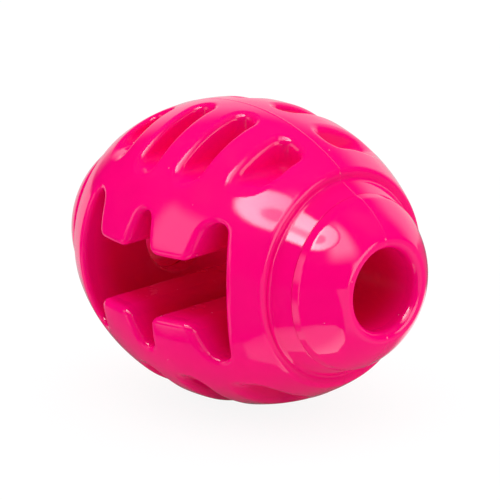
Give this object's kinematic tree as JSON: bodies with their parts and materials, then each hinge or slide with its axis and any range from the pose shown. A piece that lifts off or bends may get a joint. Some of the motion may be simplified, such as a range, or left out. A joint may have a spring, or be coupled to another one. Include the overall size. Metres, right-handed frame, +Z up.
{
  "type": "rugby ball dog toy",
  "caption": "Barrel-shaped rubber chew ball with a toothed bite slot through its middle, moulded pockets round its belly and a stepped, holed nose at each end for treats.",
  "frame": {"origin": "middle of the ball", "axes": "+X along the long axis through both treat holes, Y along the bite slot, +Z up with the tooth rows above and below"},
  "size_m": [0.106, 0.0788, 0.081],
  "materials": {
    "belly_rubber": "glossy moulded thermoplastic rubber, hot pink",
    "end_rubber": "glossy moulded thermoplastic rubber, hot pink"
  },
  "bodies": {
    "root": {"front_half_shell": "belly_rubber", "rear_half_shell": "belly_rubber", "right_collar": "end_rubber", "left_collar": "end_rubber", "right_nose": "end_rubber", "left_nose": "end_rubber"}
  },
  "joints": []
}
